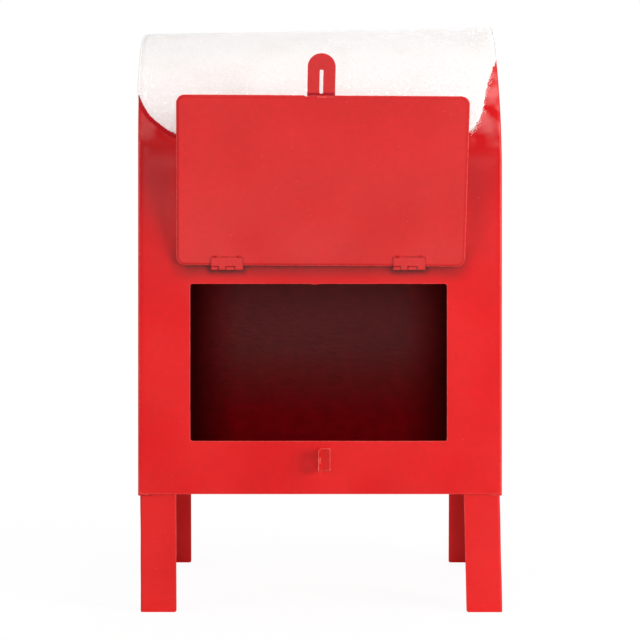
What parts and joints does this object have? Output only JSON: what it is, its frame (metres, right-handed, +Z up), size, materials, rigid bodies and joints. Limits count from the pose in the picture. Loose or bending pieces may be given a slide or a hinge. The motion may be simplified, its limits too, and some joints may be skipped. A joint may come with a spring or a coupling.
{
  "type": "mailbox",
  "caption": "Table-top mailbox of painted sheet steel with a barrel roof under glitter snow, a hinged rear access door with a hasp, a letter flap and angle legs.",
  "frame": {"origin": "centre of the floor pan's underside, midway between the service and posting panels and between the side pans", "axes": "+Z up towards the barrel roof, -Y towards the service side with the access door, +Y towards the posting side with the letter flap, +X to the right as seen from the service side"},
  "size_m": [0.2878, 0.2793, 0.4614],
  "materials": {
    "body_paint": "semi-gloss red paint on sheet steel",
    "leg_paint": "semi-gloss red paint on sheet steel",
    "door_paint": "semi-gloss red paint on sheet steel",
    "fitting_paint": "semi-gloss red paint over pressed steel hinges, hasp and staple",
    "glitter_snow": "coarse white glitter set in white resin"
  },
  "bodies": {
    "body": {"body_wrap": "body_paint", "side_pan_left": "body_paint", "side_pan_right": "body_paint", "floor_pan": "body_paint", "leg_service_left": "leg_paint", "leg_service_right": "leg_paint", "leg_posting_left": "leg_paint", "leg_posting_right": "leg_paint", "staple": "fitting_paint", "snow_coat": "glitter_snow", "door_hinge_left_body_leaf": "fitting_paint", "door_hinge_left_pin": "fitting_paint", "door_hinge_right_body_leaf": "fitting_paint", "door_hinge_right_pin": "fitting_paint", "flap_hinge_left_body_leaf": "fitting_paint", "flap_hinge_left_pin": "fitting_paint", "flap_hinge_right_body_leaf": "fitting_paint", "flap_hinge_right_pin": "fitting_paint"},
    "access_door": {"access_door": "door_paint", "hasp": "fitting_paint", "door_hinge_left_door_leaf": "fitting_paint", "door_hinge_right_door_leaf": "fitting_paint"},
    "letter_flap": {"letter_flap": "door_paint", "flap_hinge_left_flap_leaf": "fitting_paint", "flap_hinge_right_flap_leaf": "fitting_paint"}
  },
  "joints": [
    {"name": "access_door_hinge", "type": "hinge", "parent": "body", "child": "access_door", "pos_m": [0, -0.1137, 0.1771], "axis": [-1, 0, 0], "range_deg": [-165, 15]},
    {"name": "letter_flap_hinge", "type": "hinge", "parent": "body", "child": "letter_flap", "pos_m": [0, 0.1137, 0.237], "axis": [1, 0, 0], "range_deg": [0, 165]}
  ]
}
